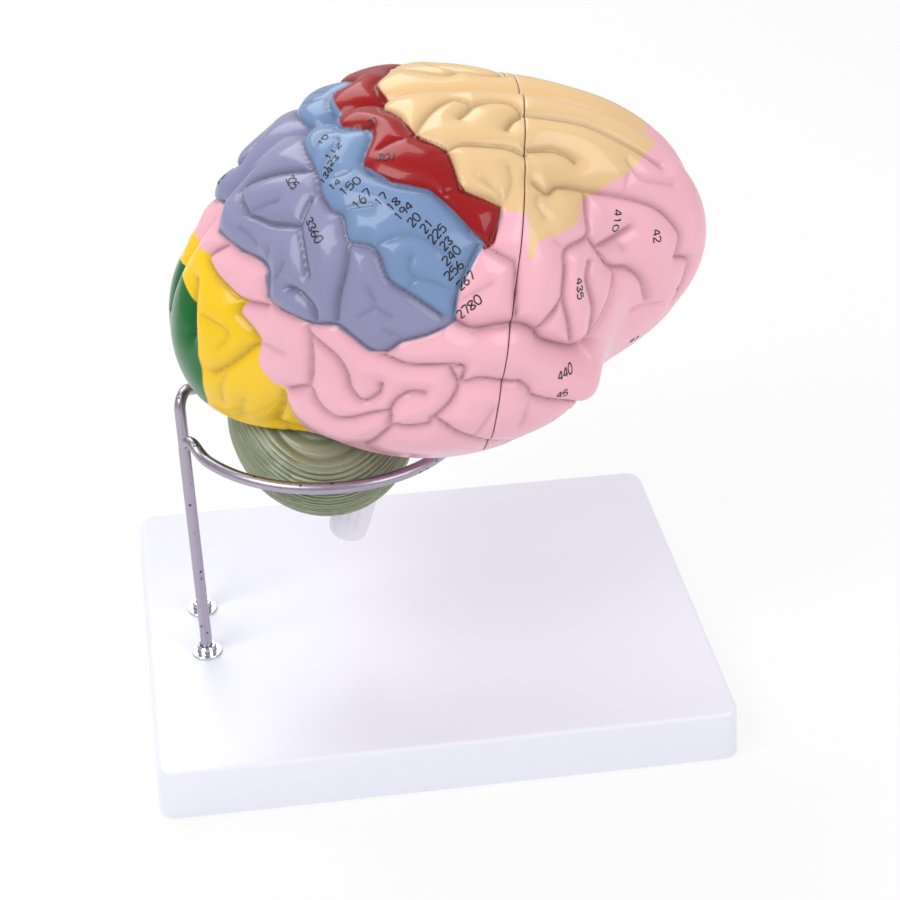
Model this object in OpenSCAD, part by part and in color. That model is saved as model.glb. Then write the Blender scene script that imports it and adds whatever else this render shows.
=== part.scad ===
// Brain anatomy model on a stand: two cerebral halves, each cut into a front and a rear section,
// two cerebellum halves and two brainstem halves, held together with pegs and carried in a
// looped rod that is bolted to a moulded base tray.
// Frame: +X to the front of the brain, +Y to its left side, +Z up, origin under the base's middle.

/* [Base tray] */
// Length of the base, front to back
base_l = 200; // [190:1:230]
// Width of the base
base_w = 160; // [130:1:200]
// Height of the base
base_h = 18.5; // [15:0.5:26]
// Thickness of the tray's top and walls
tray_wall = 2.5; // [2:0.5:3.5]
// Thickness of the ribs under the tray
rib_t = 1.6; // [1.2:0.2:3]
// Radius of the tray's upright corners
corner_r = 6; // [4:0.5:12]
// Radius of the tray's top edge
edge_r = 1.5; // [0.5:0.5:3]
// Diameter of the round moulding mark in the middle
mark_d = 8.5; // [5:0.5:14]
// Depth of the moulding mark
mark_depth = 0.4; // [0.2:0.1:1]

/* [Support rod] */
// Diameter of the rod
rod_d = 4; // [3.5:0.1:5]
// Height of the loop's middle line above the tray
loop_rise = 87; // [84:0.5:90]
// Radius of the loop's middle line
loop_r = 49; // [48:0.5:54]
// Middle of the loop, forward of the base's middle
loop_x = -32; // [-34:0.5:-31]
// Distance of each post from the midline
post_half = 13.4; // [12:0.2:18]
// Radius of the tight bend at the top of each post
bend_r = 5; // [4:0.5:7]
// Radius of the gentle bend from there down into the loop
dip_r = 12; // [6:1:20]
// Slope at which the tight bend meets the gentle one, in degrees
dip_angle = 34; // [10:1:45]
// Backward lean of each post above its straight foot, in degrees
post_lean = 1.6; // [0:0.1:3]
// Height of the straight foot above the tray
foot_h = 9; // [8:0.5:14]

/* [Collars and nuts] */
// Diameter of a collar's flange
flange_d = 10.5; // [9:0.5:14]
// Thickness of a collar's flange
flange_t = 1; // [0.8:0.1:2]
// Diameter of a collar's hub
hub_d = 6.8; // [6:0.1:8]
// Height of a collar's hub over its flange
hub_h = 2.4; // [2:0.1:5]
// Width of a nut across its corners
nut_d = 8.1; // [7.5:0.1:10]
// Height of a nut
nut_h = 3.2; // [2.5:0.1:4]
// Diameter of a washer
washer_d = 9; // [8.5:0.5:12]
// Thickness of a washer
washer_t = 0.8; // [0.5:0.1:1.5]
// Depth of the bosses under the tray's top
boss_h = 5; // [4:0.5:6]

/* [Cerebrum] */
// Height of the middle of the cut between front and rear sections, above the tray
brain_rise = 146.5; // [146:0.5:152]
// Middle of that cut, forward of the base's middle
cut_x = 28; // [24:1:32]
// Forward lean of the cut, in mm per mm of height
cut_lean = 0.15; // [0:0.01:0.2]
// Backward sweep of the cut, in mm per mm from the midline
cut_sweep = 0.11; // [0:0.01:0.2]
// Parietal lobe: middle, as forward, sideways and upward distances
parietal_at = [3, 18, -4]; // [-60:1:60]
// Parietal lobe: half length, half width and half height
parietal_half = [63, 50, 60]; // [40:1:80]
// Frontal lobe: middle
frontal_at = [14, 9, 3]; // [-60:1:60]
// Frontal lobe: half sizes
frontal_half = [83, 29, 54]; // [20:1:90]
// Occipital lobe: middle
occipital_at = [-43, 4, -21]; // [-60:1:60]
// Occipital lobe: half sizes
occipital_half = [39, 35, 40]; // [20:1:80]
// Temporal lobe: middle
temporal_at = [2, 44, -27]; // [-60:1:60]
// Temporal lobe: half sizes
temporal_half = [47, 22, 20]; // [10:1:80]
// Height of the hollow underside at the midline, from the middle of the cut
roof_drop = 23; // [20:0.5:26]
// Fall of the underside from the midline to the side, in mm per mm
roof_fall = 0.62; // [0.5:0.01:0.7]
// Fall of the underside to the back, in mm per mm
roof_back = 0.13; // [0:0.01:0.2]
// Depth of a groove between two folds
groove_depth = 3.2; // [1:0.1:5]
// Distance over which a fold rises out of its groove
groove_run = 3.2; // [2:0.1:6]

/* [Cerebellum and brainstem] */
// Half the length of the cerebellum
cerebellum_half_l = 32.5; // [28:0.5:36]
// Depth of the cerebellum under the loop's middle line
cerebellum_down = 30; // [24:0.5:33]
// Depth of the furrows between its leaves
leaf_depth = 0.9; // [0.4:0.1:1.5]
// Number of leaves from the bottom to the rim
leaves = 15; // [8:1:18]
// Radius of the brainstem's lower end
stem_r = 7; // [5:0.5:8]
// Radius of the brainstem's bulge
pons_r = 13.5; // [11:0.5:14]
// Height of the brainstem's lower end above the tray
stem_rise = 36.5; // [30:0.5:45]

/* [Pegs] */
// Diameter of the pegs
peg_d = 5; // [4:0.2:6]
// Depth of a peg in the piece that holds it
peg_hold = 10; // [7:0.5:12]
// Length of a peg that stands out
peg_out = 8; // [6:0.5:10]

/* [Fits] */
// Distance of each cut face from its parting plane
part_gap = 0.2; // [0.1:0.05:0.5]
// Gap between curved seats
seat_gap = 0.3; // [0.2:0.05:0.6]
// Radial clearance of a sliding peg or a rod in its hole
slide_gap = 0.1; // [0.05:0.01:0.2]

/* [Hidden] */
$fn = 32;

pink = [0.87, 0.58, 0.60];
olive = [0.49, 0.53, 0.35];
steel = [0.66, 0.64, 0.68];
white = [0.95, 0.94, 0.98];

rod_r = rod_d / 2;
loop_z = base_h + loop_rise;
brain_z = base_h + brain_rise;
cut_mid = [cut_x, 0, brain_z];

// Path of the rod on the right side, from the loop back down to the foot: each bend starts
// where the one before ends, and turns from one direction towards another.
up = [0, 0, 1];
post_dir = [-sin(post_lean), 0, cos(post_lean)];
hump_run = bend_r + (bend_r + dip_r) * sin(dip_angle);
loop_turn = asin((post_half + hump_run * 0.85) / loop_r);
loop_dir = [sin(loop_turn), -cos(loop_turn), 0];
loop_start = [loop_x - loop_r * cos(loop_turn), -loop_r * sin(loop_turn), loop_z];
dip_dir = cos(dip_angle) * loop_dir - sin(dip_angle) * up;
dip_start = loop_start - turned(dip_dir, loop_dir, dip_r);
bend_start = dip_start - turned(post_dir, dip_dir, bend_r);
knee_r = 30;
knee_end_z = base_h + foot_h;
knee_end = bend_start - post_dir * ((bend_start.z - knee_end_z) / post_dir.z);
knee = knee_end - turned(up, post_dir, knee_r);
post_at = [knee.x, knee.y];
boss_z = base_h - tray_wall - boss_h;
rod_end_z = boss_z - washer_t - nut_h - 1.2;

function unit(v) = v / norm(v);
// Step from the start to the end of a bend that turns from direction u to direction v.
function turned(u, v, r) =
    let (inward = unit(v - (u * v) * u))
    r * (inward * (1 - u * v) + u * sin(acos(u * v)));
function flip(v, side) = [v.x, side * v.y];

// Base tray: a drafted slab with a rounded top edge, hollow below with ribs and two bosses.
module corner_post() {
    foot_r = corner_r;
    top_r = corner_r - 1;
    rotate_extrude($fn = 24)
        polygon([[0, 0], [foot_r, 0], [top_r + 0.1, base_h - edge_r],
                 [top_r - edge_r * 0.3, base_h - edge_r * 0.3],
                 [top_r - edge_r, base_h], [0, base_h]]);
}

module slab() {
    hull()
        for (x = [-1, 1], y = [-1, 1])
            translate([x * (base_l / 2 - corner_r), y * (base_w / 2 - corner_r), 0])
                corner_post();
}

cell_cols = 3;
cell_rows = 2;
side_wall = tray_wall + 1;
cell_l = (base_l - 2 * side_wall - (cell_cols - 1) * rib_t) / cell_cols;
cell_w = (base_w - 2 * side_wall - (cell_rows - 1) * rib_t) / cell_rows;

module cells() {
    for (i = [0 : cell_cols - 1], j = [0 : cell_rows - 1])
        translate([-base_l / 2 + side_wall + i * (cell_l + rib_t),
                   -base_w / 2 + side_wall + j * (cell_w + rib_t), -1])
            cube([cell_l, cell_w, base_h - tray_wall + 1]);
}

module at_posts() {
    for (side = [-1, 1])
        translate(flip([post_at.x, -post_at.y], side))
            children();
}

module base() {
    color(white)
        difference() {
            union() {
                difference() {
                    slab();
                    cells();
                }
                at_posts()
                    translate([0, 0, boss_z])
                        cylinder(d = washer_d + 3, h = base_h - tray_wall / 2 - boss_z);
            }
            at_posts()
                translate([0, 0, -1])
                    cylinder(r = rod_r + slide_gap, h = base_h + 2);
            translate([0, 0, base_h - mark_depth])
                cylinder(d = mark_d, h = 1);
        }
}

// Support rod: one steel rod, with two straight feet, two leaning posts, two tight bends that
// dip into the loop, and the loop. Its path is a list of [point, direction].
rod_sides = 12;
function bend_path(from, u, v, r, steps) =
    let (inward = unit(v - (u * v) * u))
    [for (i = [1 : steps])
        let (a = acos(u * v) * i / steps)
        [from + r * (inward * (1 - cos(a)) + u * sin(a)), u * cos(a) + inward * sin(a)]];
function post_path() =
    concat([[[knee.x, knee.y, rod_end_z], up], [knee, up]],
           bend_path(knee, up, post_dir, knee_r, 1), [[bend_start, post_dir]],
           bend_path(bend_start, post_dir, dip_dir, bend_r, 8),
           bend_path(dip_start, dip_dir, loop_dir, dip_r, 4));
function loop_path(steps) =
    [for (i = [1 : steps - 1])
        let (a = 180 + loop_turn + (360 - 2 * loop_turn) * i / steps)
        [[loop_x + loop_r * cos(a), loop_r * sin(a), loop_z], [-sin(a), cos(a), 0]]];
function far_side(path) =
    [for (i = [len(path) - 1 : -1 : 0])
        let (p = path[i][0], u = path[i][1])
        [[p.x, -p.y, p.z], [-u.x, u.y, -u.z]]];
function rod_ring(p, u) =
    let (a = unit(cross(u, [1, 0, 1])), b = cross(u, a))
    [for (k = [0 : rod_sides - 1])
        let (turn = 360 * k / rod_sides)
        p + rod_r * (a * cos(turn) + b * sin(turn))];

module support_rod() {
    near = post_path();
    path = concat(near, loop_path(36), far_side(near));
    points = [for (place = path) each rod_ring(place[0], place[1])];
    last = (len(path) - 1) * rod_sides;
    sides = [for (i = [0 : len(path) - 2], k = [0 : rod_sides - 1])
                let (a = i * rod_sides + k, b = i * rod_sides + (k + 1) % rod_sides)
                each quad(a, a + rod_sides, b + rod_sides, b, points)];
    ends = [[for (k = [0 : rod_sides - 1]) k],
            [for (k = [rod_sides - 1 : -1 : 0]) last + k]];
    color(steel)
        polyhedron(points = points, faces = concat(sides, ends), convexity = 8);
}

// Chromed collars on the tray, washers and hexagon nuts under it.
module collar(side) {
    color([0.8, 0.8, 0.82])
        translate(concat(flip([post_at.x, post_at.y], side), base_h))
            rotate_extrude($fn = 36)
                polygon([[rod_r + slide_gap, 0], [flange_d / 2, 0], [flange_d / 2, flange_t],
                         [hub_d / 2, flange_t], [hub_d / 2, flange_t + hub_h - 0.4],
                         [hub_d / 2 - 0.4, flange_t + hub_h],
                         [rod_r + slide_gap, flange_t + hub_h]]);
}

module post_washers() {
    color(steel)
        at_posts()
            translate([0, 0, boss_z - washer_t])
                difference() {
                    cylinder(d = washer_d, h = washer_t);
                    translate([0, 0, -1])
                        cylinder(r = rod_r + slide_gap, h = washer_t + 2);
                }
}

module post_nuts() {
    color(steel)
        at_posts()
            translate([0, 0, boss_z - washer_t - nut_h])
                difference() {
                    cylinder(d = nut_d, h = nut_h, $fn = 6);
                    translate([0, 0, -1])
                        cylinder(r = rod_r, h = nut_h + 2);
                }
}

// Skin of a half brain: four lobes that blend into each other. A point is given as
// [forward, sideways from the midline, up], and a ray leaves the middle of the cut.
lobes = [[parietal_at, parietal_half], [frontal_at, frontal_half],
         [occipital_at, occipital_half], [temporal_at, temporal_half]];
blend_k = 14;
ones = [1, 1, 1, 1];

function lobe_pull(p, at, half) =
    exp(-blend_k * (norm([(p.x - at.x) / half.x,
                          (p.y - at.y) / half.y,
                          (p.z - brain_z - at.z) / half.z]) - 1));
function inside(p) = [for (l = lobes) lobe_pull(p, l[0], l[1])] * ones > 1;

function skin_reach(d, near = 8, far = 150, steps = 13) =
    steps == 0 ? near :
    let (mid = (near + far) / 2)
    inside(cut_mid + mid * d) ? skin_reach(d, mid, far, steps - 1)
                              : skin_reach(d, near, mid, steps - 1);

// The hollow underside is a roof that falls to the sides, and to the back behind the hip.
hip_x = -20;
function roof_z(x, y) = brain_z - roof_drop + roof_back * min(0, x - hip_x) - roof_fall * y;
function plane_reach(d, back, drop) =
    let (fall = d.z + roof_fall * d.y - back * d.x)
    fall > -0.001 ? 999 : drop / -fall;
function roof_reach(d) =
    max(plane_reach(d, 0, roof_drop),
        plane_reach(d, roof_back, roof_drop - roof_back * (cut_x - hip_x)));
rim_blend = 3;
function soft_min(a, b) =
    let (t = min(1, max(0, 0.5 + 0.5 * (b - a) / rim_blend)))
    b * (1 - t) + a * t - rim_blend * t * (1 - t);

// A place on the skin is like one on a globe whose poles are the front and back tips:
// turn runs from 0 at the front pole over 90 at the cut to 180 at the back pole,
// and rise runs from -90 under the midline over 0 at the side to 90 on top.
function heading(turn, rise) =
    let (y = sin(turn) * cos(rise), z = sin(turn) * sin(rise))
    [cos(turn) + cut_lean * z - cut_sweep * y, y, z];
function reach(d) = soft_min(skin_reach(d), roof_reach(d));
function skin(turn, rise) = let (d = heading(turn, rise)) cut_mid + reach(d) * d;

// Grooves between the folds, each as places on the skin.
grooves = [
    // central, motor and sensory strips
    [[139, 80], [131, 69], [132, 55], [125, 47], [116, 43], [105, 31], [100, 27]],
    [[129, 80], [121, 63], [113, 56], [108, 44], [97, 37], [99, 27]],
    [[144, 64], [141, 49], [135, 39], [133, 31], [127, 28], [123, 19], [118, 15], [109, 8]],
    [[135, 39], [128, 41]], [[127, 28], [118, 31], [110, 25]], [[122, 63], [128, 59]],
    // parietal lobe
    [[143, 48], [144, 32], [142, 21]], [[159, 54], [154, 45], [145, 39]],
    [[133, 31], [133, 23], [134, 7]], [[147, 16], [140, 10], [139, 5]],
    [[160, 54], [167, 57], [162, 35], [154, 24], [153, 10], [140, 4], [130, 2]],
    [[160, 68], [153, 69], [144, 61]], [[125, 12], [127, 18]],
    // lower edge of the parietal lobe and the lateral fissure
    [[130, 2], [122, -2], [112, 3], [106, 6]],
    [[106, 6], [94, 3], [88, 2], [80, -5], [72, -11], [62, -15]],
    // occipital lobe
    [[165, 42], [170, 38], [168, 20], [160, 4], [153, 6]],
    [[160, 4], [154, -13], [157, -36]], [[154, -13], [146, -12]],
    [[144, -32], [142, -52]], [[172, 10], [170, -12], [166, -34]],
    // temporal lobe
    [[141, 4], [140, 0], [130, -11], [124, -19], [121, -13]],
    [[140, -1], [139, -12], [138, -21]],
    [[143, -28], [138, -21], [128, -26], [116, -23]],
    [[116, -25], [117, -19], [110, -15]], [[116, -25], [106, -23], [94, -33], [84, -42]],
    [[123, -3], [115, -6], [102, -7], [101, -12], [88, -15], [82, -20], [69, -29], [60, -38]],
    [[103, -8], [103, -17], [106, -23]],
    // front part of the frontal lobe
    [[100, 26], [91, 20], [89, 3]], [[121, 63], [116, 76], [107, 76], [98, 80], [91, 73]],
    [[113, 55], [103, 58], [90, 56]], [[90, 73], [71, 73], [47, 67], [34, 60]],
    [[89, 58], [74, 59], [68, 56]], [[87, 45], [82, 42], [71, 46], [48, 45], [34, 41], [24, 26]],
    [[82, 42], [83, 34]], [[64, 44], [64, 27], [74, 23], [74, 8], [70, -10]],
    [[74, 8], [83, -1]], [[64, 27], [52, 14], [38, 6], [30, -20]],
    [[59, 22], [41, 30]], [[46, 10], [49, -2], [64, -12]], [[24, 26], [21, 5], [18, -30]],
];
fissure = 14;
fissure_depth = 6.5;

function groove_lines() =
    [for (g = [0 : len(grooves) - 1])
        let (at = [for (place = grooves[g]) skin(place.x, place.y)],
             depth = g == fissure ? fissure_depth : groove_depth)
        for (i = [0 : len(at) - 2]) [at[i], at[i + 1] - at[i], depth]];
function near_on(p, line) =
    let (t = ((p - line[0]) * line[1]) / (line[1] * line[1]))
    line[0] + min(1, max(0, t)) * line[1];

// A mesh point within half a mesh from a groove moves onto it, so the groove stays sharp.
snap = 2.4;
function folded(p, lines, free) =
    let (on = [for (l = lines) near_on(p, l)],
         off = [for (q = on) norm(p - q)],
         sink = [for (i = [0 : len(lines) - 1]) lines[i][2] * exp(-off[i] / groove_run)],
         deep = max(sink),
         i = search(deep, sink)[0],
         moved = free && off[i] < snap ? on[i] : p,
         depth = free && off[i] < snap ? lines[i][2] : deep,
         out = moved - cut_mid)
    cut_mid + out * (1 - depth / norm(out));

rise_steps = 36;
function skin_rows(turns, lines) =
    [for (turn = turns) for (j = [0 : rise_steps])
        let (rise = -90 + 180 * j / rise_steps,
             d = heading(turn, rise),
             skin_far = skin_reach(d),
             under = roof_reach(d) < skin_far,
             free = abs(rise) < 90 && abs(turn - 90) > 0.1 && !under,
             p = cut_mid + soft_min(skin_far, roof_reach(d)) * d)
        under ? p : folded(p, lines, free)];

function quad(a, b, c, d, points) =
    norm(points[a] - points[c]) < norm(points[b] - points[d]) ? [[a, b, c], [a, c, d]]
                                                              : [[a, b, d], [b, c, d]];

// One section: rows of skin points from the cut to a pole, closed by the flat midline
// and cut faces, which both run to the middle of the cut.
module section(front) {
    rows = front ? 18 : 26;
    turns = front ? [for (i = [rows : -1 : 1]) 90 * i / rows]
                  : [for (i = [rows : -1 : 1]) 180 - 90 * i / rows];
    wide = rise_steps + 1;
    lines = groove_lines();
    body = skin_rows(turns, lines);
    tip = folded(skin(front ? 0 : 180, 0), lines, false);
    points = concat(body, [tip, cut_mid]);
    tip_id = len(body);
    mid_id = tip_id + 1;
    last = (rows - 1) * wide;
    sides = [for (i = [0 : rows - 2], j = [0 : rise_steps - 1])
                each quad(i * wide + j, i * wide + j + 1,
                          (i + 1) * wide + j + 1, (i + 1) * wide + j, points)];
    cap = [for (j = [0 : rise_steps - 1]) [last + j, last + j + 1, tip_id]];
    cut = [for (j = [0 : rise_steps - 1]) [mid_id, j + 1, j]];
    top = [for (i = [0 : rows - 1])
              [mid_id, i < rows - 1 ? (i + 1) * wide + rise_steps : tip_id, i * wide + rise_steps]];
    under = [for (i = [0 : rows - 1])
                [mid_id, i * wide, i < rows - 1 ? (i + 1) * wide : tip_id]];
    faces = concat(sides, cap, cut, top, under);
    shut = front ? [for (f = faces) [f[0], f[2], f[1]]] : faces;
    translate([front ? part_gap : -part_gap, part_gap, 0])
        polyhedron(points = points, faces = shut, convexity = 6);
}

// Peg places: on the cut face as [sideways, up], and on the midline as [forward, up].
cut_peg_spots = [[24, 24], [30, -16]];
midline_peg_spots = [[-42, 4], [8, 34]];
peg_r = peg_d / 2;
function cut_face_x(spot) = cut_x + cut_lean * spot.y - cut_sweep * spot.x;

module cut_pegs(grow, hold, out) {
    for (spot = cut_peg_spots)
        translate([cut_face_x(spot) - hold, spot.x, brain_z + spot.y])
            rotate([0, 90, 0])
                cylinder(r = peg_r + grow, h = hold + out, $fn = 24);
}

module midline_pegs_form(grow, hold, out) {
    for (spot = midline_peg_spots)
        translate([spot.x, hold, brain_z + spot.y])
            rotate([90, 0, 0])
                cylinder(r = peg_r + grow, h = hold + out, $fn = 24);
}

module rear_section(held) {
    difference() {
        section(false);
        cut_pegs(0, peg_hold, 1);
        if (held)
            midline_pegs_form(0, peg_hold, 1);
        else
            midline_pegs_form(slide_gap, peg_out + 1, 1);
    }
}

module front_section() {
    difference() {
        section(true);
        cut_pegs(slide_gap, 1, peg_out + 1);
    }
}

module on_right() {
    mirror([0, 1, 0])
        children();
}

// Cerebellum half: stacked half-ellipse outlines with a ridge and a furrow for each leaf.
cerebellum_x = loop_x - 1;
cerebellum_half_w = loop_r - rod_r - seat_gap;
cerebellum_up = 58;
around_steps = 16;

// The front has a notch, cut as a wedge that clears the leaning brainstem on both sides.
stem_lean = 14;
stem_foot = [-26, 0, base_h + stem_rise];
notch_slope = 1.3;
function stem_back_r(z) =
    lookup(z - stem_foot.z, [[0, stem_r], [38, stem_r + 1], [50, pons_r], [71, pons_r],
                             [80, stem_r + 2]]);
function notch_x(z) =
    stem_foot.x + (z - stem_foot.z) * tan(stem_lean)
    - (stem_back_r(z) + seat_gap) * sqrt(1 / pow(cos(stem_lean), 2) + pow(notch_slope, 2));

function swell(z) =
    let (h = z > loop_z ? cerebellum_up : cerebellum_down)
    sqrt(max(0, 1 - pow((z - loop_z) / h, 2)));
function bulb(z, around, shrink = 0) =
    let (s = swell(z),
         y = (cerebellum_half_w * s - shrink * min(1, 2 * s)) * sin(around))
    [min(cerebellum_x + (cerebellum_half_l * s - shrink * min(1, 2 * s)) * cos(around),
         notch_x(z) + notch_slope * y), y, z];
// The leaves round over towards the rim, by a quarter circle drawn in over the last rows.
rim_run = 0.3;
rim_round = 6;
function rim_draw(t) =
    let (u = max(0, (t - 1 + rim_run) / rim_run))
    rim_round * (1 - sqrt(max(0, 1 - u * u)));
function rim_z(around, z, steps = 12) =
    steps == 0 ? z :
    let (p = bulb(z, around))
    rim_z(around, roof_z(p.x, p.y) - seat_gap, steps - 1);

module cerebellum_form() {
    rows = 2 * leaves;
    low = loop_z - cerebellum_down;
    rims = [for (k = [0 : around_steps]) rim_z(180 * k / around_steps, loop_z + 20)];
    wide = around_steps + 1;
    body = [for (i = [1 : rows], k = [0 : around_steps])
               let (around = 180 * k / around_steps,
                    t = 1 - cos(90 * i / rows),
                    share = 0.35 * i / rows + 0.65 * t,
                    z = low + (rims[k] - low) * share,
                    furrow = i % 2 == 1 && i < rows ? leaf_depth : 0)
               bulb(z, around, furrow + rim_draw(share))];
    last = (rows - 1) * wide;
    ridge = [for (k = [1 : around_steps - 1])
                let (front = body[last].x, back = body[last + around_steps].x,
                     x = front + (back - front) * k / around_steps)
                [x, 0, roof_z(x, 0) - seat_gap]];
    points = concat(body, ridge, [[cerebellum_x, 0, low]]);
    ridge_id = rows * wide - 1;
    low_id = len(points) - 1;
    sides = [for (i = [0 : rows - 2], k = [0 : around_steps - 1])
                each quad(i * wide + k, (i + 1) * wide + k, (i + 1) * wide + k + 1,
                          i * wide + k + 1, points)];
    bottom = [for (k = [0 : around_steps - 1]) [low_id, k, k + 1]];
    roof = [for (k = [0 : around_steps - 1])
               each [if (k > 0 && k < around_steps - 1)
                         [last + k, ridge_id + k, ridge_id + k + 1],
                     if (k == around_steps - 1)
                         [last + k, ridge_id + k, last + k + 1],
                     if (k < around_steps - 1)
                         [last + k, ridge_id + k + 1, last + k + 1]]];
    midline = concat([low_id],
                     [for (i = [0 : rows - 1]) i * wide + around_steps],
                     [for (k = [around_steps - 1 : -1 : 1]) ridge_id + k],
                     [for (i = [rows - 1 : -1 : 0]) i * wide]);
    translate([0, part_gap, 0])
        polyhedron(points = points, faces = concat(sides, bottom, roof, [midline]), convexity = 6);
}

// Brainstem: a turned form on an axis that leans forward as it rises.
function stem_profile() =
    let (top = 80)
    [[0, 0], [stem_r - 1.5, 0], [stem_r, 4], [stem_r + 1.5, 46], [pons_r - 1, 54],
     [pons_r, 61], [pons_r - 1.5, 69], [stem_r + 2, 75], [stem_r + 2, top], [0, top]];

module stem_form() {
    translate(stem_foot)
        rotate([0, stem_lean, 0])
            rotate_extrude(angle = 180, $fn = 36)
                polygon(stem_profile());
}

core_peg_spot = [-44, -4];
module core_peg_form(grow, half) {
    translate([core_peg_spot.x, half, loop_z + core_peg_spot.y])
        rotate([90, 0, 0])
            cylinder(r = peg_r + grow, h = 2 * half, $fn = 24);
}

module cerebellum() {
    difference() {
        cerebellum_form();
        core_peg_form(0, peg_out);
    }
}

module brainstem() {
    translate([0, part_gap, 0])
        stem_form();
}

module right_collar() { collar(1); }
module left_collar() { collar(-1); }
module right_rear_section() { color(pink) on_right() rear_section(false); }
module left_rear_section() { color(pink) rear_section(true); }
module right_front_section() { color(pink) on_right() front_section(); }
module left_front_section() { color(pink) front_section(); }
module right_cerebellum() { color(olive) on_right() cerebellum(); }
module left_cerebellum() { color(olive) cerebellum(); }
module right_brainstem() { color(white) on_right() brainstem(); }
module left_brainstem() { color(white) brainstem(); }
module right_cut_pegs() { color(steel) on_right() cut_pegs(0, peg_hold, peg_out); }
module left_cut_pegs() { color(steel) cut_pegs(0, peg_hold, peg_out); }
module midline_pegs() { color(steel) midline_pegs_form(0, peg_hold, peg_out); }
module core_peg() { color(steel) core_peg_form(0, peg_out); }

base();
support_rod();
right_collar();
left_collar();
post_washers();
post_nuts();
right_rear_section();
right_front_section();
left_rear_section();
left_front_section();
right_cerebellum();
left_cerebellum();
right_brainstem();
left_brainstem();
right_cut_pegs();
left_cut_pegs();
midline_pegs();
core_peg();
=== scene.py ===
"""Brain anatomy model on a stand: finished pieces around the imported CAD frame."""
import math

import bmesh
import bpy
import numpy as np
from mathutils import Matrix, Vector


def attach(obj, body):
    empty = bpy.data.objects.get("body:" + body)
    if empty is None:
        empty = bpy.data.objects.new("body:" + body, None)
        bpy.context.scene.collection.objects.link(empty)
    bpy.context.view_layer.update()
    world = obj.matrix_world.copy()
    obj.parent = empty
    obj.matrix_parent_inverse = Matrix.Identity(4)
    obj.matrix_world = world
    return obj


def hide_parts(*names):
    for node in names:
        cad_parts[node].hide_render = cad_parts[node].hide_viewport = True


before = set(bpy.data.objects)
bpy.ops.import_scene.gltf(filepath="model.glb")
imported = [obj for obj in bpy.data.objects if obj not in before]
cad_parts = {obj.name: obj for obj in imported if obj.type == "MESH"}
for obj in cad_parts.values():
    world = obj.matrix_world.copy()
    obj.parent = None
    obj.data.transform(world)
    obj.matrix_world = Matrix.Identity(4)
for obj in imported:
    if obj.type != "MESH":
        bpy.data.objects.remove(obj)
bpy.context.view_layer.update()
MM = 0.001

# Camera: stands in front of the model's right side and above it, with the picture plane
# turned slightly, as the photograph was taken.
TURN, TILT, ROLL = math.radians(-8.548), math.radians(31.654), math.radians(-0.66)
camera_data = bpy.data.cameras.new("camera")
camera_data.sensor_width = 36.0
camera_data.lens = 91.95
camera_data.clip_end = 20.0
camera = bpy.data.objects.new("camera", camera_data)
bpy.context.scene.collection.objects.link(camera)
back = Vector((math.sin(TURN) * math.cos(TILT), -math.cos(TURN) * math.cos(TILT), math.sin(TILT)))
right = Vector((math.cos(TURN), math.sin(TURN), 0.0))
upward = back.cross(right)
right, upward = (right * math.cos(ROLL) + upward * math.sin(ROLL),
                 upward * math.cos(ROLL) - right * math.sin(ROLL))
eye = Vector((-90.74, -680.08, 509.51)) * MM
camera.matrix_world = Matrix.Translation(eye) @ Matrix((right, upward, back)).transposed().to_4x4()
bpy.context.scene.camera = camera
bpy.context.scene.view_settings.view_transform = "Standard"


# Studio: a plain white sweep on the floor, and large soft lamps over it. To the camera the
# sweep is near white, and it still takes the model's shadow.
class Wire:
    """A socket's value; sums on it add the Math nodes."""

    def __init__(self, finish, socket):
        self.finish, self.socket = finish, socket

    def maths(self, operation, first, second):
        return self.finish.node("ShaderNodeMath", {"operation": operation}, {0: first, 1: second})

    def __add__(self, other):
        return self.maths("ADD", self, other)

    def __radd__(self, other):
        return self.maths("ADD", other, self)

    def __sub__(self, other):
        return self.maths("SUBTRACT", self, other)

    def __rsub__(self, other):
        return self.maths("SUBTRACT", other, self)

    def __mul__(self, other):
        return self.maths("MULTIPLY", self, other)

    def __rmul__(self, other):
        return self.maths("MULTIPLY", other, self)


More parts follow.
